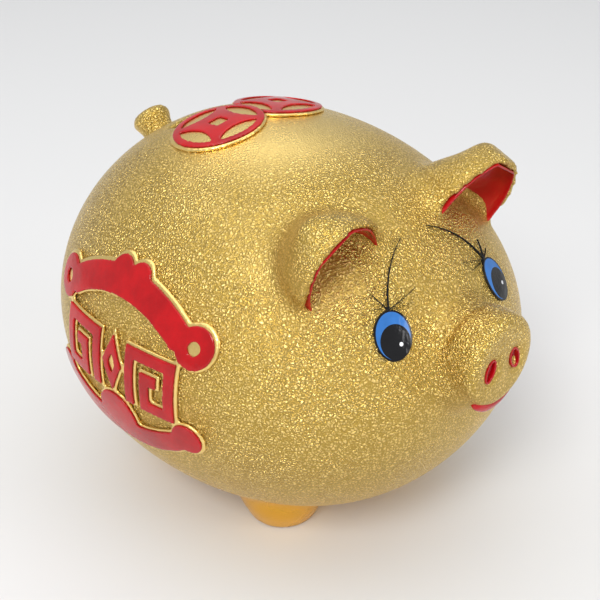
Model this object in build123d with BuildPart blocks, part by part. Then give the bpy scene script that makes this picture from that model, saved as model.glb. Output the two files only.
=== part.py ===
from build123d import *
import math
import os

# A standing pig money bank: a slip-cast ceramic shell with sprigged-on ears, snout, tail
# and feet, raised ornaments with red enamel on them, painted eyes and a rubber stopper
# in the belly. Millimetres. +Z is up, the snout points along -Y, the pig's left is +X,
# and the origin is on the ground under the middle of the outline.

# ---- driving dimensions -------------------------------------------------------------
BODY_Y = 11.5            # the widest section of the belly lies this far behind the origin
BODY_Z = 72.7            # height of the body's long axis
HALF_WIDTH = 75.5
HALF_HEIGHT = 69.0
FRONT = 92.0             # from the widest section to the brow
REAR = 79.0              # from the widest section to the rump
FULLNESS = 2.08          # 2 is an ellipse, more is boxier
CHEEK = 0.83             # under 1 makes the head broader than it is tall
WALL = 5.0

RELIEF = 1.1             # how far a moulded ornament stands out of the body
ENAMEL = 0.6             # how far the enamel stands out of its ornament
PAINT = 0.5              # thickness of the eyes' glossy paint
BORDER = 0.8             # gold border left round the enamel

SLOT_LENGTH = 36.0
SLOT_WIDTH = 5.0
SLOT_Y = BODY_Y + 33.0

COIN_RADIUS = 15.8
COIN_X = 13.8
COIN_Y = BODY_Y + 12.0
COIN_RING = 2.6          # width of a coin's rim and of the bars between its windows
COIN_WINDOW = 2.5        # half the side of a coin's square window
LENS_DEPTH = 5.6         # depth of the lens windows round it, inwards from the rim

ORNAMENT_Y = BODY_Y - 4.0
ORNAMENT_Z = 80.5

FOOT_X = 22.0
FOOT_FRONT_Y = BODY_Y - 27.0
FOOT_REAR_Y = BODY_Y + 26.0
SOLE_RADIUS = 13.0
SOLE_ROUND = 2.4
FOOT_TOP_RADIUS = 19.0
FOOT_BULGE = (17.4, 12.0)
FOOT_TOP_Z = 25.0

HOLE_RADIUS = 14.5
SEAT_RADIUS = 18.6
SEAT_Z = 6.5             # the stopper's flange bears on a flat seat at this height
STOPPER_GAP = 0.3
STOPPER_FACE_Z = 4.3
STOPPER_GRIP_Z = 1.8
STOPPER_TOP_Z = 13.0
STOPPER_LIP = 4.0        # thickness of the stopper's hollow neck

MUZZLE_Z = 86.5
MUZZLE_FACE_Y = -89.0
MUZZLE_BACK_Y = -62.0
DISC_Z = 92.0
DISC_RADIUS = 15.6
DISC_FACE_Y = -92.5      # front face of the snout disc
DISC_LENGTH = 12.0
DISC_ROUND = 3.2
NOSTRIL_X = 6.0
NOSTRIL_DEPTH = 3.0
LINING = 0.8             # thickness of the red linings of nostrils and ears
MOUTH_Z = 75.0
MOUTH_HALF = 9.0

EYE_X, EYE_Y, EYE_Z = 23.4, -65.2, 99.9
EYE_NORMAL = (0.40, -0.777, 0.486)
EYE_WIDTH, EYE_HEIGHT = 12.6, 15.8
EYE_LINE = 0.6           # width of the black line round the eye
LASH = 0.28              # half the width of a lash at its root

EAR_ROOT = Vector(29.5, -51.5, 117.5)    # middle of the left ear's opening, on the head
EAR_AXIS = Vector(0.52, -0.33, 0.79)     # from the root to the tip
EAR_FACE = Vector(-0.08, -0.94, -0.28)   # the way the hollow side looks
EAR_HEIGHT = 23.0
EAR_BURIED = 14.0        # how far the ear runs on below the skin of the head
EAR_HALF_WIDTH = 18.0
EAR_DEPTH = 25.0         # from the opening to the back of the hood
EAR_HOLLOW = 14.0        # depth of the hollow behind the opening
EAR_RIM = 2.8

TAIL_Y, TAIL_Z = BODY_Y + 61.0, 115.0
TAIL_WAY = (0, 0.72, 0.69)
TAIL_REACH = 9.5
TAIL_CURL = 4.0          # radius of the curl, to the middle of its thickness
TAIL_THICK = 3.8

OUTSIDE = 110.0          # a distance that clears the body on every side
SIDES = (("right", -1), ("left", 1))

os.makedirs("parts", exist_ok=True)


def save(piece, label):
    piece.part.label = label
    export_step(piece.part, f"parts/{label}.step")


# ---- the smooth egg of the body -------------------------------------------------------
def girth(along, grow):
    """Half width and half height of the body at a distance along it, grown by a margin."""
    reach = (FRONT if along < 0 else REAR) + grow
    share = (1 - abs(along / reach) ** FULLNESS) ** (1 / FULLNESS)
    width_share = share ** CHEEK if along < 0 else share
    return (HALF_WIDTH + grow) * width_share, (HALF_HEIGHT + grow) * share


def body_form(grow):
    """One loft through upright ellipses from the brow to the rump."""
    with BuildPart() as form:
        for degrees in (-86, -76, -64, -50, -35, -18, 0, 18, 35, 50, 64, 76, 86):
            reach = (FRONT if degrees < 0 else REAR) + grow
            along = reach * math.sin(math.radians(degrees))
            half_width, half_height = girth(along, grow)
            station = Plane(
                origin=(0, BODY_Y + along, BODY_Z), x_dir=(1, 0, 0), z_dir=(0, 1, 0)
            )
            with BuildSketch(station):
                Ellipse(half_width, half_height)
        loft()
    return form.part


body_skin = body_form(0)
hollow_form = body_form(-WALL)
relief_skin = body_form(RELIEF)
enamel_skin = body_form(RELIEF + ENAMEL)
paint_skin = body_form(PAINT)


def layer(label, plane, outline, lower, upper):
    """A raised layer: an outline carried through to the body, kept between two skins."""
    with BuildPart() as raised:
        with BuildSketch(plane):
            outline()
        extrude(amount=-OUTSIDE)
        add(upper, mode=Mode.INTERSECT)
        add(lower, mode=Mode.SUBTRACT)
    save(raised, label)


# ---- the shell and the stopper --------------------------------------------------------
def make_body_shell():
    with BuildPart() as shell:
        add(body_skin)
        add(hollow_form, mode=Mode.SUBTRACT)
        with BuildSketch(Plane.XY.offset(BODY_Z)):
            with Locations((0, SLOT_Y)):
                SlotOverall(SLOT_LENGTH, SLOT_WIDTH)
        extrude(amount=HALF_HEIGHT + WALL, mode=Mode.SUBTRACT)
        with BuildSketch(Plane.XY):
            with Locations((0, BODY_Y)):
                Circle(HOLE_RADIUS)
        extrude(amount=BODY_Z / 2, mode=Mode.SUBTRACT)
        with BuildSketch(Plane.XY):
            with Locations((0, BODY_Y)):
                Circle(SEAT_RADIUS)
        extrude(amount=SEAT_Z, mode=Mode.SUBTRACT)
    save(shell, "body_shell")


def make_belly_stopper():
    neck = BODY_Y + HOLE_RADIUS - STOPPER_GAP
    flange = BODY_Y + SEAT_RADIUS - STOPPER_GAP
    with BuildPart() as stopper:
        with BuildSketch(Plane.YZ):
            with BuildLine():
                Polyline(
                    (BODY_Y, STOPPER_FACE_Z),
                    (flange - 0.8, STOPPER_FACE_Z),
                    (flange, STOPPER_FACE_Z + 0.8),
                    (flange, SEAT_Z),
                    (neck, SEAT_Z),
                    (neck, STOPPER_TOP_Z - 1),
                    (neck - 1, STOPPER_TOP_Z),
                    (neck - STOPPER_LIP, STOPPER_TOP_Z),
                    (neck - STOPPER_LIP, SEAT_Z),
                    (BODY_Y, SEAT_Z),
                    close=True,
                )
            make_face()
        revolve(axis=Axis((0, BODY_Y, 0), (0, 0, 1)))
        with BuildSketch(Plane.XY.offset(STOPPER_GRIP_Z)):
            with Locations((0, BODY_Y)):
                SlotOverall(18, 5)
        extrude(amount=STOPPER_FACE_Z - STOPPER_GRIP_Z)
    save(stopper, "belly_stopper")


# ---- feet, snout, tail and ears -------------------------------------------------------
def make_foot(label, x, y):
    """A bowl-shaped stub that widens upwards and has a rounded sole."""
    with BuildPart() as foot:
        with BuildSketch(Plane(origin=(x, y, 0), x_dir=(1, 0, 0), z_dir=(0, -1, 0))):
            with BuildLine():
                Line((0, 0), (SOLE_RADIUS - SOLE_ROUND, 0))
                ThreePointArc(
                    (SOLE_RADIUS - SOLE_ROUND, 0),
                    (SOLE_RADIUS - SOLE_ROUND * 0.29, SOLE_ROUND * 0.29),
                    (SOLE_RADIUS, SOLE_ROUND),
                )
                ThreePointArc(
                    (SOLE_RADIUS, SOLE_ROUND), FOOT_BULGE, (FOOT_TOP_RADIUS, FOOT_TOP_Z)
                )
                Polyline((FOOT_TOP_RADIUS, FOOT_TOP_Z), (0, FOOT_TOP_Z), (0, 0))
            make_face()
        revolve(axis=Axis((x, y, 0), (0, 0, 1)))
        add(body_skin, mode=Mode.SUBTRACT)
    save(foot, label)


disc_plane = Plane(origin=(0, DISC_FACE_Y, DISC_Z), x_dir=(1, 0, 0), z_dir=(0, -1, 0))
mouth_plane = Plane(
    origin=(0, DISC_FACE_Y - 1, MOUTH_Z), x_dir=(1, 0, 0), z_dir=(0, -0.85, -0.53)
)


def nostril(side, shrink=0.0):
    with Locations(Location((side * NOSTRIL_X, -1.0), side * 18)):
        Ellipse(2.4 - shrink, 4.2 - shrink)


def mouth_outline():
    """An open smile: the gap between two arcs that meet at the corners."""
    with BuildLine() as smile:
        ThreePointArc((-MOUTH_HALF, 1.2), (0, -3.6), (MOUTH_HALF, 1.2))
        ThreePointArc((MOUTH_HALF, 1.2), (0, 2.0), (-MOUTH_HALF, 1.2))
    make_face(smile.edges())


def make_muzzle(grow):
    """The round muzzle behind the disc, turned about a level axis."""
    face = MUZZLE_FACE_Y - grow
    with BuildPart() as muzzle:
        with BuildSketch(Plane.YZ):
            with BuildLine():
                Line((MUZZLE_BACK_Y, MUZZLE_Z), (face, MUZZLE_Z))
                Line((face, MUZZLE_Z), (face, MUZZLE_Z + 9))
                Spline(
                    (face, MUZZLE_Z + 9),
                    (face + 3.4, MUZZLE_Z + 14 + grow),
                    (face + 12, MUZZLE_Z + 18 + grow),
                    (MUZZLE_BACK_Y, MUZZLE_Z + 24 + grow),
                    tangents=((0, 1), (1, 0.5)),
                )
                Line((MUZZLE_BACK_Y, MUZZLE_Z + 24 + grow), (MUZZLE_BACK_Y, MUZZLE_Z))
            make_face()
        revolve(axis=Axis((0, 0, MUZZLE_Z), (0, 1, 0)))
    return muzzle.part


def make_snout():
    muzzle = make_muzzle(0)
    with BuildPart() as snout:
        with BuildSketch(disc_plane):
            Circle(DISC_RADIUS)
        extrude(amount=-DISC_LENGTH)
        fillet(snout.faces().sort_by(Axis.Y)[0].edges(), DISC_ROUND)
        add(muzzle)
        with BuildSketch(disc_plane):
            nostril(-1)
            nostril(1)
        extrude(amount=-NOSTRIL_DEPTH, mode=Mode.SUBTRACT)
        add(body_skin, mode=Mode.SUBTRACT)
    save(snout, "snout")
    for name, side in SIDES:
        with BuildPart() as lining:
            with BuildSketch(disc_plane.offset(-NOSTRIL_DEPTH)):
                nostril(side)
            extrude(amount=NOSTRIL_DEPTH - 0.3)
            with BuildSketch(disc_plane):
                nostril(side, LINING)
            extrude(amount=LINING - NOSTRIL_DEPTH, mode=Mode.SUBTRACT)
        save(lining, f"nostril_lining_{name}")
    with BuildPart() as mouth:
        with BuildSketch(mouth_plane):
            mouth_outline()
        extrude(amount=-12)
        add(make_muzzle(ENAMEL), mode=Mode.INTERSECT)
        add(snout.part, mode=Mode.SUBTRACT)
        add(muzzle, mode=Mode.SUBTRACT)
    save(mouth, "mouth")


def make_tail():
    """A tapering root that ends in a small curl."""
    root = Plane(origin=(0, TAIL_Y, TAIL_Z), x_dir=(1, 0, 0), z_dir=TAIL_WAY)
    top = root.offset(TAIL_REACH).origin
    with BuildPart() as tail:
        with BuildSketch(root.offset(-4)):
            Circle(9.0)
        with BuildSketch(root.offset(TAIL_REACH - 2)):
            Circle(4.5)
        loft()
        with BuildSketch(Plane(top, x_dir=(1, 0, 0), z_dir=Vector(1, 0, 0).cross(Vector(*TAIL_WAY)))):
            with Locations((TAIL_CURL, 0)):
                Circle(TAIL_THICK)
        revolve(axis=Axis(top, TAIL_WAY))
        add(body_skin, mode=Mode.SUBTRACT)
    save(tail, "tail")


def ear_form(root_depth, shrink, top, open_by):
    """An ear-shaped loft of half ellipses, from inside the head to the ear's tip."""
    axis = EAR_AXIS.normalized()
    across = axis.cross(EAR_FACE).normalized()
    stations = 6
    with BuildPart() as form:
        for step in range(stations):
            rise = -EAR_BURIED + (top + EAR_BURIED) * step / (stations - 1)
            up = max(rise, 0) / EAR_HEIGHT
            half = EAR_HALF_WIDTH * max(1 - up ** 2.2, 0.06) ** 0.5 - shrink
            depth = root_depth * (1 - 0.6 * up)
            middle = EAR_ROOT + axis * rise
            with BuildSketch(Plane(origin=middle, x_dir=across, z_dir=axis)):
                with BuildLine():
                    EllipticalCenterArc((0, 0), half, depth, 0, arc_size=180)
                    Polyline((-half, 0), (-half, -open_by), (half, -open_by), (half, 0))
                make_face()
        loft()
    return form.part


def make_ears():
    lined = EAR_RIM + LINING
    outside = ear_form(EAR_DEPTH, 0, EAR_HEIGHT, 0.4)
    hollow = ear_form(EAR_HOLLOW, EAR_RIM, EAR_HEIGHT - EAR_RIM, 8)
    inside = ear_form(EAR_HOLLOW - LINING, lined, EAR_HEIGHT - lined, 9)
    for name, side in SIDES:
        with BuildPart() as ear:
            add(outside)
            add(hollow, mode=Mode.SUBTRACT)
            add(body_skin, mode=Mode.SUBTRACT)
            if side < 0:
                mirror(about=Plane.YZ, mode=Mode.REPLACE)
        save(ear, f"ear_{name}")
        with BuildPart() as lining:
            add(hollow)
            add(inside, mode=Mode.SUBTRACT)
            add(outside, mode=Mode.INTERSECT)
            add(body_skin, mode=Mode.SUBTRACT)
            if side < 0:
                mirror(about=Plane.YZ, mode=Mode.REPLACE)
        save(lining, f"ear_lining_{name}")


# ---- flank ornaments: a cloud band over two frets, a lozenge and an ingot --------------
def cloud_band(grow=0.0):
    with Locations((0, -20)):
        Circle(50 + grow)
        Circle(41.0 - grow, mode=Mode.SUBTRACT)
    with Locations((0, 13 - grow)):
        Rectangle(100, 60, align=(Align.CENTER, Align.MIN), mode=Mode.INTERSECT)
    for side in (-1, 1):
        with Locations((side * 32.5, 15.5)):
            Circle(6.8 + grow)
        with Locations((side * 4.2, 27.5)):
            Circle(5.2 + grow)
        if not grow:
            with Locations((side * 32.5, 15.5)):
                Circle(2.1, mode=Mode.SUBTRACT)


def ingot(grow=0.0):
    with Locations((0, 22)):
        Circle(54 + grow)
    with Locations((0, 34)):
        Circle(57 - grow, mode=Mode.SUBTRACT)
    Rectangle(64, 100, mode=Mode.INTERSECT)
    for side in (-1, 1):
        with Locations((side * 31.5, -17.5)):
            Circle(5.6 + grow)
    with Locations((0, -22)):
        Circle(9.5 + grow)


def fret(side, grow=0.0):
    """A square spiral drawn leg by leg, turning right after each."""
    stroke = 4.2 + 2 * grow
    u, v, heading = 8.6, -10.4, 90
    for leg in (17.2, 17.2, 17.2, 10.1, 10.1, 3.0):
        end_u = u + leg * math.cos(math.radians(heading))
        end_v = v + leg * math.sin(math.radians(heading))
        with Locations((side * (u + end_u) / 2, (v + end_v) / 2)):
            Rectangle(abs(end_u - u) + stroke, abs(end_v - v) + stroke)
        u, v, heading = end_u, end_v, heading - 90


def lozenge(grow=0.0):
    wide, tall = 4.8 + 1.1 * grow, 10.5 + 2.4 * grow
    with Locations((0, -1)):
        Polygon((wide, 0), (0, tall), (-wide, 0), (0, -tall))
        if not grow:
            Polygon((1.7, 0), (0, 3.7), (-1.7, 0), (0, -3.7), mode=Mode.SUBTRACT)


def make_flank(name, side):
    flank = Plane(
        origin=(side * OUTSIDE, ORNAMENT_Y, ORNAMENT_Z), x_dir=(0, side, 0), z_dir=(side, 0, 0)
    )
    motifs = {
        "cloud_band": cloud_band,
        "ingot": ingot,
        "fret_front": lambda grow=0.0: fret(-side, grow),
        "fret_rear": lambda grow=0.0: fret(side, grow),
        "lozenge": lozenge,
    }

    def ground():
        for motif in motifs.values():
            with BuildSketch(mode=Mode.PRIVATE) as bordered:
                motif(BORDER)
            add(bordered.sketch)

    layer(f"flank_relief_{name}", flank, ground, body_skin, relief_skin)
    for motif_name, motif in motifs.items():
        layer(f"{motif_name}_{name}", flank, motif, relief_skin, enamel_skin)


# ---- the two coins on the back --------------------------------------------------------
back_plane = Plane.XY.offset(BODY_Z + OUTSIDE)


def coin_ground():
    with Locations((-COIN_X, COIN_Y), (COIN_X, COIN_Y)):
        Circle(COIN_RADIUS + BORDER)


def coin_face(side):
    """A ring and a cross-shaped field, pierced by four lens windows and a square one."""
    inner = COIN_RADIUS - COIN_RING
    with BuildSketch(mode=Mode.PRIVATE) as lens:
        Circle(inner)
        with Locations((2 * inner - LENS_DEPTH, 0)):
            Circle(inner, mode=Mode.INTERSECT)
    with Locations((side * COIN_X, COIN_Y)):
        Circle(COIN_RADIUS)
        with PolarLocations(0, 4):
            add(lens.sketch, mode=Mode.SUBTRACT)
        Rectangle(2 * COIN_WINDOW, 2 * COIN_WINDOW, mode=Mode.SUBTRACT)
    if side > 0:
        with Locations((-COIN_X, COIN_Y)):
            Circle(COIN_RADIUS, mode=Mode.SUBTRACT)


def make_coins():
    layer("coin_relief", back_plane, coin_ground, body_skin, relief_skin)
    for name, side in SIDES:
        layer(f"coin_enamel_{name}", back_plane, lambda: coin_face(side), relief_skin, enamel_skin)


# ---- painted eyes, brows and lashes ---------------------------------------------------
def eye_plane(side):
    normal = Vector(side * EYE_NORMAL[0], EYE_NORMAL[1], EYE_NORMAL[2])
    return Plane(
        origin=Vector(side * EYE_X, EYE_Y, EYE_Z) + normal * 30,
        x_dir=Vector(0, 0, 1).cross(normal),
        z_dir=normal,
    )


def stroke(side, root, bow, tip, half_width):
    """A brush stroke that tapers from its root to a point, bowed through a middle point."""
    (root_u, root_v), (bow_u, bow_v), (tip_u, tip_v) = root, bow, tip
    with BuildLine() as outline:
        ThreePointArc(
            (side * (root_u - half_width), root_v),
            (side * (bow_u - half_width * 0.7), bow_v),
            (side * (tip_u - 0.08), tip_v),
        )
        Line((side * (tip_u - 0.08), tip_v), (side * (tip_u + 0.08), tip_v))
        ThreePointArc(
            (side * (tip_u + 0.08), tip_v),
            (side * (bow_u + half_width * 0.7), bow_v),
            (side * (root_u + half_width), root_v),
        )
        Line((side * (root_u + half_width), root_v), (side * (root_u - half_width), root_v))
    make_face(outline.edges())


def make_eye(name, side):
    plane = eye_plane(side)
    half_u, half_v = EYE_WIDTH / 2, EYE_HEIGHT / 2
    pupil = (0.5, -2.0)
    glint = (2.2, -2.9)

    def outline():
        Ellipse(half_u, half_v)
        Ellipse(half_u - EYE_LINE, half_v - EYE_LINE, mode=Mode.SUBTRACT)

    def pupil_area(mode=Mode.ADD):
        with BuildSketch(mode=Mode.PRIVATE) as area:
            with Locations(pupil):
                Ellipse(5.1, 5.5)
            Ellipse(half_u - EYE_LINE, half_v - EYE_LINE, mode=Mode.INTERSECT)
        add(area.sketch, mode=mode)

    def iris_area():
        Ellipse(half_u - EYE_LINE, half_v - EYE_LINE)
        pupil_area(Mode.SUBTRACT)

    def pupil_outline():
        pupil_area()
        with Locations(glint):
            Circle(0.65, mode=Mode.SUBTRACT)

    def glint_outline():
        with Locations(glint):
            Circle(0.65)

    def lashes():
        """Four short lashes and the long brow line, which leans towards the forehead."""
        root = (0, half_v + 0.02)
        for tip in ((4.6, 13.4), (-10.6, 13.4), (5.6, 9.2), (-9.0, 9.0)):
            bow = (tip[0] * 0.45, half_v + (tip[1] - half_v) * 0.42)
            stroke(side, root, bow, tip, LASH)
        stroke(side, root, (-3.0, 19.5), (-10.0, 29.0), LASH)

    layer(f"eye_outline_{name}", plane, outline, body_skin, paint_skin)
    layer(f"eye_iris_{name}", plane, iris_area, body_skin, paint_skin)
    layer(f"eye_pupil_{name}", plane, pupil_outline, body_skin, paint_skin)
    layer(f"eye_glint_{name}", plane, glint_outline, body_skin, paint_skin)
    layer(f"eyelashes_{name}", plane, lashes, body_skin, paint_skin)


make_body_shell()
make_belly_stopper()
make_foot("foot_front_right", -FOOT_X, FOOT_FRONT_Y)
make_foot("foot_front_left", FOOT_X, FOOT_FRONT_Y)
make_foot("foot_rear_right", -FOOT_X, FOOT_REAR_Y)
make_foot("foot_rear_left", FOOT_X, FOOT_REAR_Y)
make_snout()
make_tail()
make_ears()
make_coins()
for side_name, side_sign in SIDES:
    make_flank(side_name, side_sign)
    make_eye(side_name, side_sign)
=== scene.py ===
import math

import bpy
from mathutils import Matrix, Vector
from mathutils.bvhtree import BVHTree


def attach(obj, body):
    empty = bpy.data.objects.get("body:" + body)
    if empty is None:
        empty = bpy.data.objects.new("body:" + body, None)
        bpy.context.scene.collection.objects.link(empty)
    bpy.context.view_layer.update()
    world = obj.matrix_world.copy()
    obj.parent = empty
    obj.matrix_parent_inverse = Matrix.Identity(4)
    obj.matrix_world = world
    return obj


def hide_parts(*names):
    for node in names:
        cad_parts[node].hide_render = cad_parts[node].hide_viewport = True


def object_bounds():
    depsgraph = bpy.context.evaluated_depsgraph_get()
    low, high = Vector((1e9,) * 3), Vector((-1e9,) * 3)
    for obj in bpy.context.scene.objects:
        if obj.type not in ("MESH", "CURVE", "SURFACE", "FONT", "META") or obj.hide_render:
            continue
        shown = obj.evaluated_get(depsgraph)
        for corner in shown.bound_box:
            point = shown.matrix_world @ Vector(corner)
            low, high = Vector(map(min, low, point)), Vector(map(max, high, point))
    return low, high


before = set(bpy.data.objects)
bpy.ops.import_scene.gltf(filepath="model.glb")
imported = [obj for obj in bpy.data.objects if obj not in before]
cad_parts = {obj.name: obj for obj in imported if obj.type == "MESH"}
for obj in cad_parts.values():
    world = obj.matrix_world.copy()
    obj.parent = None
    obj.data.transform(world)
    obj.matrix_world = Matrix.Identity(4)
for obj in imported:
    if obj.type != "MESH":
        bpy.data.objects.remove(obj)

bl_info = {
    "name": "Pig Bank Finishing",
    "version": (1, 0, 0),
    "blender": (4, 5, 0),
    "location": "View3D > Sidebar > Pig Bank",
    "description": "Models and finishes the gilded ceramic pig bank round its packed parts",
    "category": "Object",
}

CAD_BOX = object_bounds()
SIDES = ("right", "left")
AIM_ACROSS = (0.0067, 0.0048)    # where the camera looks, beside the bank's middle
AIM_DROP = 0.0015                # and how far below half its height
BELLY_BAND = (0.016, 0.034)      # heights between which the belly's smooth lustre, and its painted warm bounce light and shade, fade out
RUMP_BAND = (0.074, 0.086)       # the same on the rump, along the bank
CROWN = (0.0, 0.012, 0.148)      # middle of the smooth lustre on the back
CROWN_BAND = (0.020, 0.046)      # distances from it between which the lustre fades out
FEET = ("foot_front_right", "foot_front_left", "foot_rear_right", "foot_rear_left")
SPRIGS = ("ear_right", "ear_left", "tail") + FEET
MOTIFS = ("cloud_band", "fret_front", "fret_rear", "lozenge", "ingot")


# ---- properties -----------------------------------------------------------------------
class BankFinish(bpy.types.PropertyGroup):
    """Colours and grain of the bank's finishes."""

    gold: bpy.props.FloatVectorProperty(
        name="Gold", description="Colour of the gold lustre", subtype="COLOR",
        size=3, min=0.0, max=1.0, default=(0.97, 0.71, 0.25),
    )
    # Deep gold is painted shade: a darker colour laid into the low spots of the crackle's bump,
    # where shade would fall.
    gold_hollow_shade: bpy.props.FloatVectorProperty(
        name="Painted hollow shade", description="Colour of the lustre in its hollows", subtype="COLOR",
        size=3, min=0.0, max=1.0, default=(0.50, 0.33, 0.07),
    )
    # Warm gold is painted light: the saturated orange of light bounced from the floor and of shade,
    # laid low on the belly and feet.
    gold_bounce_shade: bpy.props.FloatVectorProperty(
        name="Painted bounce shade", description="Colour of the smooth lustre on belly and feet",
        subtype="COLOR", size=3, min=0.0, max=1.0, default=(0.86, 0.46, 0.03),
    )
    red: bpy.props.FloatVectorProperty(
        name="Enamel red", description="Colour of the thick enamel", subtype="COLOR",
        size=3, min=0.0, max=1.0, default=(0.46, 0.003, 0.006),
    )
    blue: bpy.props.FloatVectorProperty(
        name="Iris blue", description="Colour of the irises", subtype="COLOR",
        size=3, min=0.0, max=1.0, default=(0.035, 0.17, 0.50),
    )
    rubber: bpy.props.FloatVectorProperty(
        name="Rubber", description="Colour of the stopper", subtype="COLOR",
        size=3, min=0.0, max=1.0, default=(0.72, 0.68, 0.58),
    )
    grain: bpy.props.FloatProperty(
        name="Grain", description="Width of one wrinkle of the crackled glaze",
        default=0.00105, min=0.0002, max=0.01, unit="LENGTH",
    )
    grain_depth: bpy.props.FloatProperty(
        name="Grain depth", description="Height of the wrinkles",
        default=0.00046, min=0.0, max=0.002, unit="LENGTH",
    )


class BankShape(bpy.types.PropertyGroup):
    """Sizes used while the forms are softened."""

    casting_voxel: bpy.props.FloatProperty(
        name="Casting resolution", description="Size of the casting's mesh faces",
        default=0.00152, min=0.0005, max=0.005, unit="LENGTH",
    )
    enamel_voxel: bpy.props.FloatProperty(
        name="Enamel resolution", description="Size of the enamel's mesh faces",
        default=0.00036, min=0.0001, max=0.002, unit="LENGTH",
    )
    lip: bpy.props.FloatProperty(
        name="Lip", description="How far the enamel of the mouth swells past its outline",
        default=0.0013, min=0.0, max=0.004, unit="LENGTH",
    )
    luting: bpy.props.FloatProperty(
        name="Luting width", description="Reach of the soft joint round ears, snout and feet",
        default=0.0045, min=0.0, max=0.02, unit="LENGTH",
    )


class BankStudio(bpy.types.PropertyGroup):
    """Where the camera stands."""

    azimuth: bpy.props.FloatProperty(
        name="Azimuth", description="Camera's turn round the bank, from its snout",
        default=math.radians(-44.1), subtype="ANGLE",
    )
    elevation: bpy.props.FloatProperty(
        name="Elevation", description="Camera's height above the horizon",
        default=math.radians(30.7), subtype="ANGLE",
    )
    distance: bpy.props.FloatProperty(
        name="Distance", description="Camera to the middle of the bank",
        default=0.4372, min=0.1, unit="LENGTH",
    )
    focal_length: bpy.props.FloatProperty(
        name="Focal length", description="Camera lens in millimetres",
        default=70.7, min=10.0,
    )


# ---- node helpers ---------------------------------------------------------------------
def add_node(tree, kind, **settings):
    node = tree.nodes.new(kind)
    for key, value in settings.items():
        setattr(node, key, value)
    return node


def put(tree, socket, value):
    """Links a socket, or sets a plain value, on a node's input."""
    if isinstance(value, bpy.types.NodeSocket):
        tree.links.new(value, socket)
    else:
        socket.default_value = value


def noise(tree, vector, scale, detail=2.0, roughness=0.5):
    node = add_node(tree, "ShaderNodeTexNoise")
    put(tree, node.inputs["Vector"], vector)
    node.inputs["Scale"].default_value = scale
    node.inputs["Detail"].default_value = detail
    node.inputs["Roughness"].default_value = roughness
    return node


def math_node(tree, operation, first, second=0.0, clamp=False):
    node = add_node(tree, "ShaderNodeMath", operation=operation, use_clamp=clamp)
    put(tree, node.inputs[0], first)
    put(tree, node.inputs[1], second)
    return node.outputs[0]


def map_range(tree, value, low, high, to_low=0.0, to_high=1.0):
    node = add_node(tree, "ShaderNodeMapRange", interpolation_type="SMOOTHSTEP")
    put(tree, node.inputs["Value"], value)
    limits = (("From Min", low), ("From Max", high), ("To Min", to_low), ("To Max", to_high))
    for name, number in limits:
        put(tree, node.inputs[name], number)
    return node.outputs["Result"]


def mix_colour(tree, factor, first, second):
    """Blends two colours; 6 and 7 are the mix node's colour sockets and 2 its result."""
    node = add_node(tree, "ShaderNodeMix", data_type="RGBA")
    put(tree, node.inputs["Factor"], factor)
    put(tree, node.inputs[6], first)
    put(tree, node.inputs[7], second)
    return node.outputs[2]


def rgba(colour):
    return (*colour, 1.0)


def group_with(name, inputs, outputs):
    """A new shader group with named float sockets, and its end nodes."""
    group = bpy.data.node_groups.new(name, "ShaderNodeTree")
    for socket, kind, default in inputs:
        item = group.interface.new_socket(socket, in_out="INPUT", socket_type=kind)
        if default is not None:
            item.default_value = default
    for socket, kind in outputs:
        group.interface.new_socket(socket, in_out="OUTPUT", socket_type=kind)
    return group, add_node(group, "NodeGroupInput"), add_node(group, "NodeGroupOutput")


def crackle_group():
    """Wrinkled glaze: crossed cell borders, bent by noise, with a finer grain over them, and a mask
    of painted shade for the wrinkles' hollows.
    """
    group, start, end = group_with(
        "Crackled Glaze",
        (("Grain", "NodeSocketFloat", 0.0015), ("Calm", "NodeSocketFloat", 0.0)),
        (("Height", "NodeSocketFloat"), ("Hollow shade", "NodeSocketFloat"), ("Drift", "NodeSocketFloat")),
    )
    coordinates = add_node(group, "ShaderNodeTexCoord").outputs["Object"]
    density = math_node(group, "DIVIDE", 1.0, start.outputs["Grain"])
    bend = add_node(group, "ShaderNodeTexNoise")
    put(group, bend.inputs["Vector"], coordinates)
    put(group, bend.inputs["Scale"], math_node(group, "MULTIPLY", density, 0.8))
    bend.inputs["Detail"].default_value = 2.0
    shift = add_node(group, "ShaderNodeVectorMath", operation="SUBTRACT")
    put(group, shift.inputs[0], bend.outputs["Color"])
    shift.inputs[1].default_value = (0.5, 0.5, 0.5)
    scaled = add_node(group, "ShaderNodeVectorMath", operation="SCALE")
    put(group, scaled.inputs[0], shift.outputs[0])
    put(group, scaled.inputs["Scale"], math_node(group, "MULTIPLY", start.outputs["Grain"], 1.5))
    bent = add_node(group, "ShaderNodeVectorMath", operation="ADD")
    put(group, bent.inputs[0], coordinates)
    put(group, bent.inputs[1], scaled.outputs[0])
    cells = add_node(group, "ShaderNodeTexVoronoi", feature="DISTANCE_TO_EDGE")
    put(group, cells.inputs["Vector"], bent.outputs[0])
    put(group, cells.inputs["Scale"], density)
    fine = add_node(group, "ShaderNodeTexNoise")
    put(group, fine.inputs["Vector"], bent.outputs[0])
    put(group, fine.inputs["Scale"], math_node(group, "MULTIPLY", density, 1.7))
    fine.inputs["Detail"].default_value = 3.0
    ridge = map_range(group, cells.outputs["Distance"], 0.0, 0.35)
    height = math_node(group, "ADD", math_node(group, "MULTIPLY", ridge, 0.55), fine.outputs["Fac"])
    calm = math_node(group, "SUBTRACT", 1.0, start.outputs["Calm"], clamp=True)
    put(group, end.inputs["Height"], math_node(group, "MULTIPLY", height, calm))
    # Painted shade: the low spots of the wrinkles are marked to be darkened in colour, where shade
    # would fall.
    hollow_shade = map_range(group, height, 0.55, 1.1, 1.0, 0.0)
    put(group, end.inputs["Hollow shade"], math_node(group, "MULTIPLY", hollow_shade, calm))
    drift = noise(group, coordinates, 22.0, 3.0, 0.6)
    put(group, end.inputs["Drift"], drift.outputs["Fac"])
    return group


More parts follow.
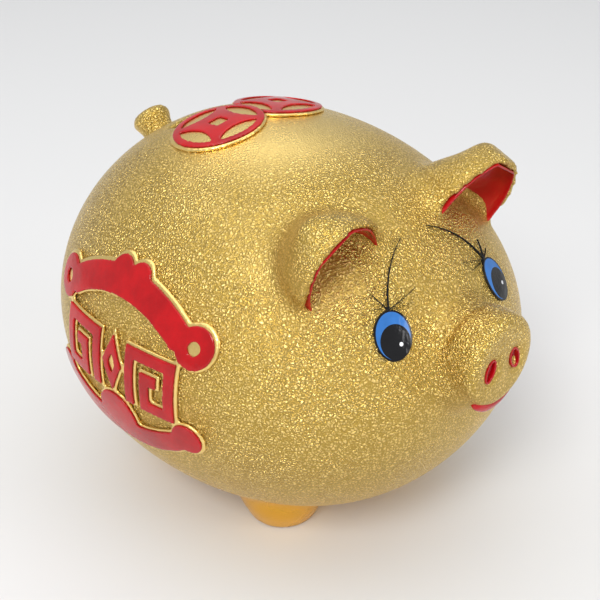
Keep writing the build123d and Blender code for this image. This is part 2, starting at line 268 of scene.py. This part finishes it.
def peel_group():
    """The slight waviness of thick, glossy enamel."""
    group, start, end = group_with(
        "Enamel Peel",
        (("Size", "NodeSocketFloat", 0.003),),
        (("Height", "NodeSocketFloat"), ("Blush", "NodeSocketFloat")),
    )
    coordinates = add_node(group, "ShaderNodeTexCoord").outputs["Object"]
    wave = add_node(group, "ShaderNodeTexNoise")
    put(group, wave.inputs["Vector"], coordinates)
    put(group, wave.inputs["Scale"], math_node(group, "DIVIDE", 1.0, start.outputs["Size"]))
    wave.inputs["Detail"].default_value = 2.0
    blush = noise(group, coordinates, 90.0, 3.0, 0.6)
    put(group, end.inputs["Height"], wave.outputs["Fac"])
    put(group, end.inputs["Blush"], blush.outputs["Fac"])
    return group


def use_group(tree, group, **values):
    node = add_node(tree, "ShaderNodeGroup", node_tree=group)
    for name, value in values.items():
        put(tree, node.inputs[name], value)
    return node


def new_material(name):
    material = bpy.data.materials.new(name)
    material.use_nodes = True
    tree = material.node_tree
    shader = tree.nodes["Principled BSDF"]
    return material, tree, shader


def gold_material(name, finish, groups, calm):
    """Gold lustre over glaze, with painted shade in its hollows and, for the body, painted warm
    bounce light and shade low down. calm is 0 for crackled and 1 for smooth, or "body" for a mask.
    """
    material, tree, shader = new_material(name)
    belly = 0.0
    if calm == "body":
        place = add_node(tree, "ShaderNodeTexCoord").outputs["Object"]
        split = add_node(tree, "ShaderNodeSeparateXYZ")
        put(tree, split.inputs[0], place)
        # belly also carries painted bounce light and shade: the same mask fades in the warm gold
        # towards the bottom.
        belly = map_range(tree, split.outputs["Z"], *BELLY_BAND, 0.86, 0.0)
        rump = map_range(tree, split.outputs["Y"], *RUMP_BAND, 0.0, 0.8)
        back = add_node(tree, "ShaderNodeVectorMath", operation="DISTANCE")
        put(tree, back.inputs[0], place)
        back.inputs[1].default_value = CROWN
        crown = map_range(tree, back.outputs["Value"], *CROWN_BAND, 0.75, 0.0)
        patch = noise(tree, place, 16.0, 2.0, 0.5)
        calm = math_node(tree, "MAXIMUM", belly, math_node(tree, "MAXIMUM", rump, crown))
        calm = math_node(
            tree, "ADD", calm, map_range(tree, patch.outputs["Fac"], 0.55, 0.75, 0.0, 0.25), True
        )
    crackle = use_group(tree, groups["crackle"], Grain=finish.grain, Calm=calm)
    drift = map_range(tree, crackle.outputs["Drift"], 0.3, 0.7)
    warm = mix_colour(tree, drift, rgba(finish.gold), rgba(Vector(finish.gold) * 0.9))
    # Painted shade in the crackle's hollows: the lustre darkens towards the deep gold where the
    # wrinkles are low.
    colour = mix_colour(tree, crackle.outputs["Hollow shade"], warm, rgba(finish.gold_hollow_shade))
    # Painted bounce light and shade: towards the bottom the lustre turns to the warm, saturated
    # gold.
    put(tree, shader.inputs["Base Color"], mix_colour(tree, belly, colour, rgba(finish.gold_bounce_shade)))
    shader.inputs["Metallic"].default_value = 1.0
    roughness = map_range(tree, crackle.outputs["Drift"], 0.3, 0.7, 0.22, 0.34)
    put(tree, shader.inputs["Roughness"], roughness)
    bump = add_node(tree, "ShaderNodeBump")
    bump.inputs["Distance"].default_value = finish.grain_depth
    put(tree, bump.inputs["Height"], crackle.outputs["Height"])
    put(tree, shader.inputs["Normal"], bump.outputs["Normal"])
    return material


def enamel_material(name, colour, groups, roughness=0.16):
    material, tree, shader = new_material(name)
    peel = use_group(tree, groups["peel"], Size=0.003)
    blush = map_range(tree, peel.outputs["Blush"], 0.3, 0.7)
    mixed = mix_colour(tree, blush, rgba(colour), rgba(Vector(colour) * 0.72))
    put(tree, shader.inputs["Base Color"], mixed)
    shader.inputs["Roughness"].default_value = roughness
    shader.inputs["Coat Weight"].default_value = 0.1
    shader.inputs["Specular IOR Level"].default_value = 0.3
    shader.inputs["Coat Roughness"].default_value = 0.06
    bump = add_node(tree, "ShaderNodeBump")
    bump.inputs["Distance"].default_value = 0.00012
    put(tree, bump.inputs["Height"], peel.outputs["Height"])
    put(tree, shader.inputs["Normal"], bump.outputs["Normal"])
    return material


def rubber_material(name, colour):
    material, tree, shader = new_material(name)
    place = add_node(tree, "ShaderNodeTexCoord").outputs["Object"]
    dust = noise(tree, place, 120.0, 4.0, 0.6)
    tone = map_range(tree, dust.outputs["Fac"], 0.35, 0.7)
    mixed = mix_colour(tree, tone, rgba(colour), rgba(Vector(colour) * 0.8))
    put(tree, shader.inputs["Base Color"], mixed)
    roughness = map_range(tree, dust.outputs["Fac"], 0.3, 0.7, 0.5, 0.68)
    put(tree, shader.inputs["Roughness"], roughness)
    bump = add_node(tree, "ShaderNodeBump")
    bump.inputs["Distance"].default_value = 0.0001
    put(tree, bump.inputs["Height"], noise(tree, place, 1600.0, 2.0).outputs["Fac"])
    put(tree, shader.inputs["Normal"], bump.outputs["Normal"])
    return material


# ---- mesh helpers ---------------------------------------------------------------------
def only(piece):
    """Leaves one object selected and active."""
    bpy.ops.object.select_all(action="DESELECT")
    piece.select_set(True)
    bpy.context.view_layer.objects.active = piece


def apply_modifier(piece, kind, **settings):
    only(piece)
    modifier = piece.modifiers.new(kind.title(), kind)
    for key, value in settings.items():
        setattr(modifier, key, value)
    bpy.ops.object.modifier_apply(modifier=modifier.name)


def merged_copy(name, nodes):
    """One welded mesh made of copies of the named CAD nodes."""
    copies = []
    for node in nodes:
        copy = bpy.data.objects.new(name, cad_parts[node].data.copy())
        bpy.context.scene.collection.objects.link(copy)
        copies.append(copy)
    bpy.ops.object.select_all(action="DESELECT")
    for copy in copies:
        copy.select_set(True)
    bpy.context.view_layer.objects.active = copies[0]
    if len(copies) > 1:
        bpy.ops.object.join()
    piece = bpy.context.view_layer.objects.active
    piece.name = name
    piece.data.name = name
    bpy.ops.object.mode_set(mode="EDIT")
    bpy.ops.mesh.select_all(action="SELECT")
    bpy.ops.mesh.remove_doubles(threshold=1e-6)
    bpy.ops.object.mode_set(mode="OBJECT")
    return piece


def remesh(piece, voxel):
    apply_modifier(piece, "REMESH", mode="VOXEL", voxel_size=voxel, use_smooth_shade=True)


def dress(piece, material, body, slot, *nodes):
    """Gives a finished piece its material and body, and hides what it stands for; its slot argument
    is not used.
    """
    piece.data.materials.clear()
    piece.data.materials.append(material)
    only(piece)
    bpy.ops.object.shade_smooth()
    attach(piece, body)
    if nodes:
        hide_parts(*nodes)


def tree_of(*nodes):
    """A search tree over the surfaces of CAD nodes."""
    points, faces = [], []
    for node in nodes:
        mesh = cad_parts[node].data
        first = len(points)
        points.extend(v.co.copy() for v in mesh.vertices)
        faces.extend([first + i for i in p.vertices] for p in mesh.polygons)
    return BVHTree.FromPolygons(points, faces)


def weight_near(piece, name, near, also_near, reach):
    """A vertex group that is 1 where two surfaces meet and fades out over a reach."""
    group = piece.vertex_groups.new(name=name)
    for vertex in piece.data.vertices:
        first = near.find_nearest(vertex.co, reach * 2)[3]
        second = also_near.find_nearest(vertex.co, reach * 2)[3]
        if first is None or second is None:
            continue
        weight = 1.0 - max(first, second) / (2 * reach)
        if weight > 0:
            group.add([vertex.index], min(1.0, weight * 1.6), "REPLACE")
    return group


# ---- the operators --------------------------------------------------------------------
class BankOperator(bpy.types.Operator):
    bl_options = {"REGISTER", "UNDO"}


class BANK_OT_materials(BankOperator):
    """Mixes the gold lustre, the enamels and the rubber"""

    bl_idname = "bank.materials"
    bl_label = "Mix the finishes"

    def execute(self, context):
        finish = context.scene.bank_finish
        groups = {"crackle": crackle_group(), "peel": peel_group()}
        gold_material("Crackled gold", finish, groups, "body")
        gold_material("Smooth gold", finish, groups, 0.9)
        enamel_material("Red enamel", finish.red, groups)
        enamel_material("Black enamel", (0.006, 0.006, 0.007), groups, 0.1)
        enamel_material("Blue enamel", finish.blue, groups, 0.1)
        enamel_material("White enamel", (0.85, 0.86, 0.88), groups, 0.1)
        rubber_material("Stopper rubber", finish.rubber)
        return {"FINISHED"}


class BANK_OT_casting(BankOperator):
    """Casts the shell with its ears, snout, tail and feet in one gilded skin"""

    bl_idname = "bank.casting"
    bl_label = "Cast the shell"

    def execute(self, context):
        shape = context.scene.bank_shape
        casting = merged_copy("gilded_casting", ("body_shell", "snout") + SPRIGS)
        remesh(casting, shape.casting_voxel)
        shell = tree_of("body_shell")
        weight_near(casting, "luting", shell, tree_of(*SPRIGS), shape.luting)
        apply_modifier(casting, "SMOOTH", factor=0.5, iterations=40, vertex_group="luting")
        weight_near(casting, "muzzle", shell, tree_of("snout"), shape.luting * 0.6)
        apply_modifier(casting, "SMOOTH", factor=0.5, iterations=14, vertex_group="muzzle")
        apply_modifier(casting, "SMOOTH", factor=0.5, iterations=2)
        casting.vertex_groups.clear()
        dress(
            casting, bpy.data.materials["Crackled gold"], "bank", "crackle_gold",
            "body_shell", "snout", *SPRIGS,
        )
        return {"FINISHED"}


class BANK_OT_grounds(BankOperator):
    """Rounds the raised gold grounds of the flank ornaments and of the coins"""

    bl_idname = "bank.grounds"
    bl_label = "Raise the grounds"

    def execute(self, context):
        voxel = context.scene.bank_shape.enamel_voxel * 1.3
        for node in ("flank_relief_right", "flank_relief_left", "coin_relief"):
            piece = merged_copy(node.replace("relief", "ground"), (node,))
            remesh(piece, voxel)
            apply_modifier(piece, "SMOOTH", factor=0.5, iterations=6)
            dress(piece, bpy.data.materials["Smooth gold"], "bank", "crackle_gold", node)
        return {"FINISHED"}


class BANK_OT_enamels(BankOperator):
    """Pours the red enamel over ornaments, coins, ears, nostrils and mouth"""

    bl_idname = "bank.enamels"
    bl_label = "Pour the enamel"

    def execute(self, context):
        shape = context.scene.bank_shape
        voxel = shape.enamel_voxel
        nodes = [f"{motif}_{side}" for side in SIDES for motif in MOTIFS]
        nodes += [f"coin_enamel_{side}" for side in SIDES]
        nodes += [f"ear_lining_{side}" for side in SIDES]
        nodes += [f"nostril_lining_{side}" for side in SIDES]
        nodes += ["mouth"]
        for node in nodes:
            piece = merged_copy(f"{node}_poured", (node,))
            remesh(piece, voxel)
            if node == "mouth":
                apply_modifier(piece, "DISPLACE", strength=shape.lip, mid_level=0.0)
                remesh(piece, voxel)
            apply_modifier(piece, "SMOOTH", factor=0.5, iterations=5)
            dress(piece, bpy.data.materials["Red enamel"], "bank", "red_enamel", node)
        return {"FINISHED"}


class BANK_OT_eyes(BankOperator):
    """Paints the eyes and their lashes"""

    bl_idname = "bank.eyes"
    bl_label = "Paint the eyes"

    def execute(self, context):
        colours = {
            "eye_outline": "Black enamel", "eye_iris": "Blue enamel", "eye_pupil": "Black enamel",
            "eye_glint": "White enamel", "eyelashes": "Black enamel",
        }
        for side in SIDES:
            for part, colour in colours.items():
                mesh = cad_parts[f"{part}_{side}"].data
                mesh.materials.clear()
                mesh.materials.append(bpy.data.materials[colour])
        return {"FINISHED"}


class BANK_OT_stopper(BankOperator):
    """Rounds the rubber stopper under the belly"""

    bl_idname = "bank.stopper"
    bl_label = "Mould the stopper"

    def execute(self, context):
        stopper = merged_copy("moulded_stopper", ("belly_stopper",))
        remesh(stopper, context.scene.bank_shape.enamel_voxel)
        apply_modifier(stopper, "SMOOTH", factor=0.5, iterations=3)
        dress(
            stopper, bpy.data.materials["Stopper rubber"], "stopper", "stopper_rubber",
            "belly_stopper",
        )
        return {"FINISHED"}


class BANK_OT_studio(BankOperator):
    """Sets up the floor, the soft light and the camera"""

    bl_idname = "bank.studio"
    bl_label = "Set up the studio"

    def execute(self, context):
        studio = context.scene.bank_studio
        low, high = (Vector(corner) for corner in CAD_BOX)
        aim = Vector((*AIM_ACROSS, (low.z + high.z) / 2 - AIM_DROP))
        bpy.ops.mesh.primitive_plane_add(size=6.0, location=(0, 0, 0))
        floor = bpy.context.active_object
        floor.name = "studio_floor"
        material, tree, shader = new_material("Floor paper")
        shader.inputs["Base Color"].default_value = (0.665, 0.66, 0.655, 1)
        shader.inputs["Roughness"].default_value = 0.9
        floor.data.materials.append(material)

        a, e = studio.azimuth, studio.elevation
        back = Vector((math.sin(a) * math.cos(e), -math.cos(a) * math.cos(e), math.sin(e)))
        bpy.ops.object.camera_add(location=aim + back * studio.distance)
        camera = bpy.context.active_object
        camera.rotation_euler = back.to_track_quat("Z", "Y").to_euler()
        camera.data.lens = studio.focal_length
        camera.data.clip_start = 0.01
        context.scene.camera = camera

        lights = (
            ("overhead", (0.0, 0.15, 1.1), 1.5, 7.5),
            ("key", (-0.9, -0.5, 1.0), 0.45, 12.0),
            ("fill", (0.5, -1.2, 0.5), 0.5, 4.0),
        )
        for name, place, size, power in lights:
            bpy.ops.object.light_add(type="AREA", location=place)
            light = bpy.context.active_object
            light.name = name
            light.data.size = size
            light.data.energy = power
            direction = Vector(place) - Vector((0, 0, 0.07))
            light.rotation_euler = direction.to_track_quat("Z", "Y").to_euler()

        world = bpy.data.worlds.new("Studio")
        context.scene.world = world
        world.use_nodes = True
        world.node_tree.nodes["Background"].inputs["Color"].default_value = (0.95, 0.97, 1.0, 1)
        world.node_tree.nodes["Background"].inputs["Strength"].default_value = 0.60
        context.scene.view_settings.view_transform = "Standard"
        return {"FINISHED"}


class BANK_PT_panel(bpy.types.Panel):
    """Lists the steps in order"""

    bl_idname = "BANK_PT_panel"
    bl_label = "Pig Bank"
    bl_space_type = "VIEW_3D"
    bl_region_type = "UI"
    bl_category = "Pig Bank"

    def draw(self, context):
        scene = context.scene
        for group in (scene.bank_finish, scene.bank_shape, scene.bank_studio):
            box = self.layout.box()
            for name in group.bl_rna.properties.keys():
                if name not in {"rna_type", "name"}:
                    box.prop(group, name)
        for operator in STEPS:
            self.layout.operator(operator.bl_idname)


GROUPS = (BankFinish, BankShape, BankStudio)
STEPS = (
    BANK_OT_materials, BANK_OT_casting, BANK_OT_grounds, BANK_OT_enamels,
    BANK_OT_eyes, BANK_OT_stopper, BANK_OT_studio,
)


def register():
    for cls in GROUPS + STEPS + (BANK_PT_panel,):
        bpy.utils.register_class(cls)
    bpy.types.Scene.bank_finish = bpy.props.PointerProperty(type=BankFinish)
    bpy.types.Scene.bank_shape = bpy.props.PointerProperty(type=BankShape)
    bpy.types.Scene.bank_studio = bpy.props.PointerProperty(type=BankStudio)


def unregister():
    del bpy.types.Scene.bank_finish
    del bpy.types.Scene.bank_shape
    del bpy.types.Scene.bank_studio
    for cls in reversed(GROUPS + STEPS + (BANK_PT_panel,)):
        bpy.utils.unregister_class(cls)


def main():
    register()
    bpy.ops.bank.materials()
    bpy.ops.bank.casting()
    bpy.ops.bank.grounds()
    bpy.ops.bank.enamels()
    bpy.ops.bank.eyes()
    bpy.ops.bank.stopper()
    bpy.ops.bank.studio()


if __name__ == "__main__":
    main()
